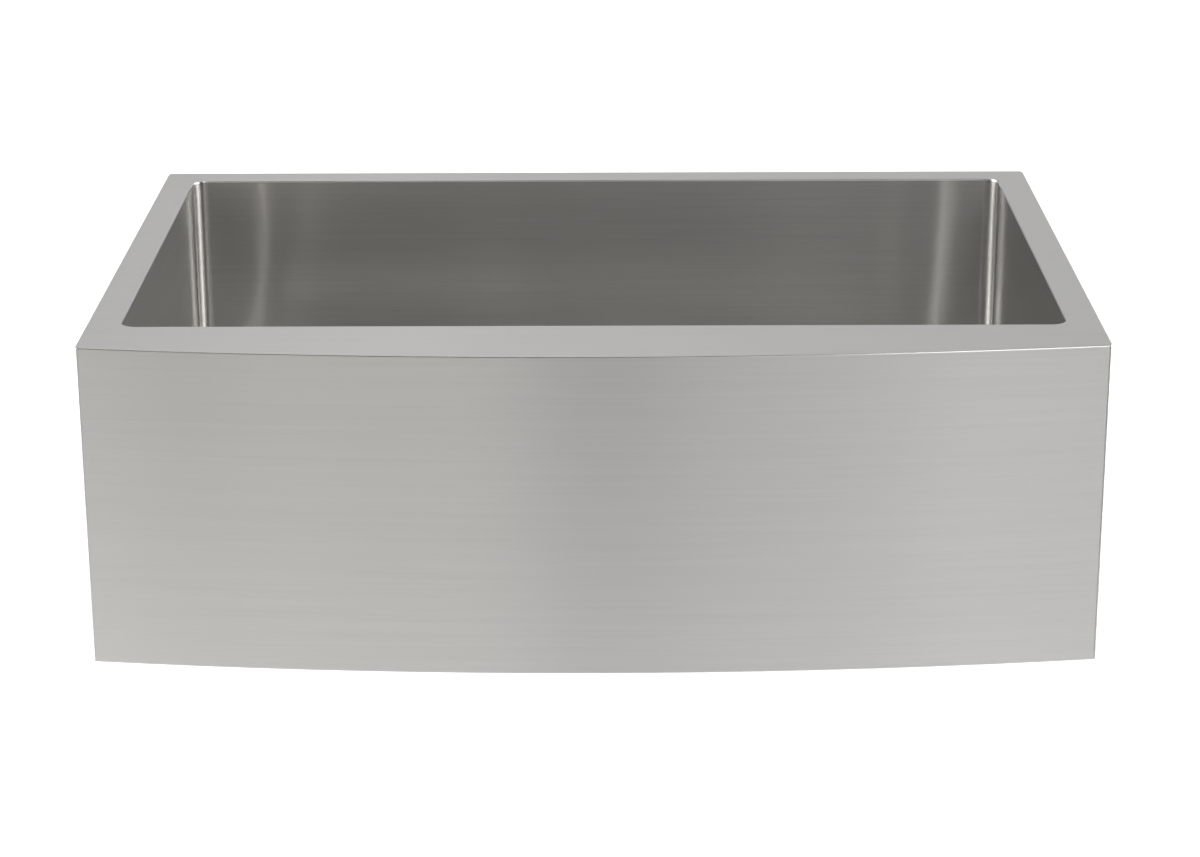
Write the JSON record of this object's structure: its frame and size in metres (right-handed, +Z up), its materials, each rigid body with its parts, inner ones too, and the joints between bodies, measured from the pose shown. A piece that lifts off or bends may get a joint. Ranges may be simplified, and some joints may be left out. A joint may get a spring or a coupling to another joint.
{
  "type": "apron front kitchen sink",
  "caption": "Single-bowl stainless kitchen sink with a bowed apron front, flat mounting flange, sound pads, basket strainer and tailpiece; the basket lifts out.",
  "frame": {"origin": "centre of the rear flange's top face, on the plane that meets the worktop's underside", "axes": "+X to the right along the width, the apron faces -Y, +Z up out of the bowl"},
  "size_m": [0.762, 0.543, 0.388],
  "materials": {
    "sheet_steel": "horizontally brushed stainless steel",
    "sound_pad": "matte dark grey rubber",
    "seal_rubber": "soft black rubber",
    "strainer_steel": "turned and brushed stainless steel",
    "washer_fibre": "matte pressed fibre",
    "locknut_metal": "plain cast brass",
    "washer_plastic": "milky plastic",
    "tube_chrome": "polished chrome plate",
    "basket_steel": "bright pressed stainless steel",
    "basket_chrome": "polished chrome plate",
    "stopper_rubber": "soft black rubber"
  },
  "bodies": {
    "sink": {"bowl": "sheet_steel", "deck": "sheet_steel", "apron": "sheet_steel", "apron_base": "sheet_steel", "pad_back": "sound_pad", "pad_front": "sound_pad", "pad_left": "sound_pad", "pad_right": "sound_pad", "pad_apron": "sound_pad", "pad_floor_left": "sound_pad", "pad_floor_right": "sound_pad", "pad_floor_front": "sound_pad", "flange_seal": "seal_rubber", "strainer_body": "strainer_steel", "strainer_outlet": "strainer_steel", "rubber_gasket": "seal_rubber", "friction_washer": "washer_fibre", "locknut": "locknut_metal", "tailpiece_washer": "washer_plastic", "tailpiece": "tube_chrome", "coupling_nut": "tube_chrome"},
    "basket": {"basket_cup": "basket_steel", "basket_post": "basket_chrome", "basket_knob": "basket_chrome", "stopper": "stopper_rubber", "stopper_washer": "basket_steel", "post_clip": "basket_chrome"}
  },
  "joints": [
    {"name": "basket_lift", "type": "slide", "parent": "sink", "child": "basket", "axis": [0, 0, 1], "range_m": [0, 0.32]}
  ]
}
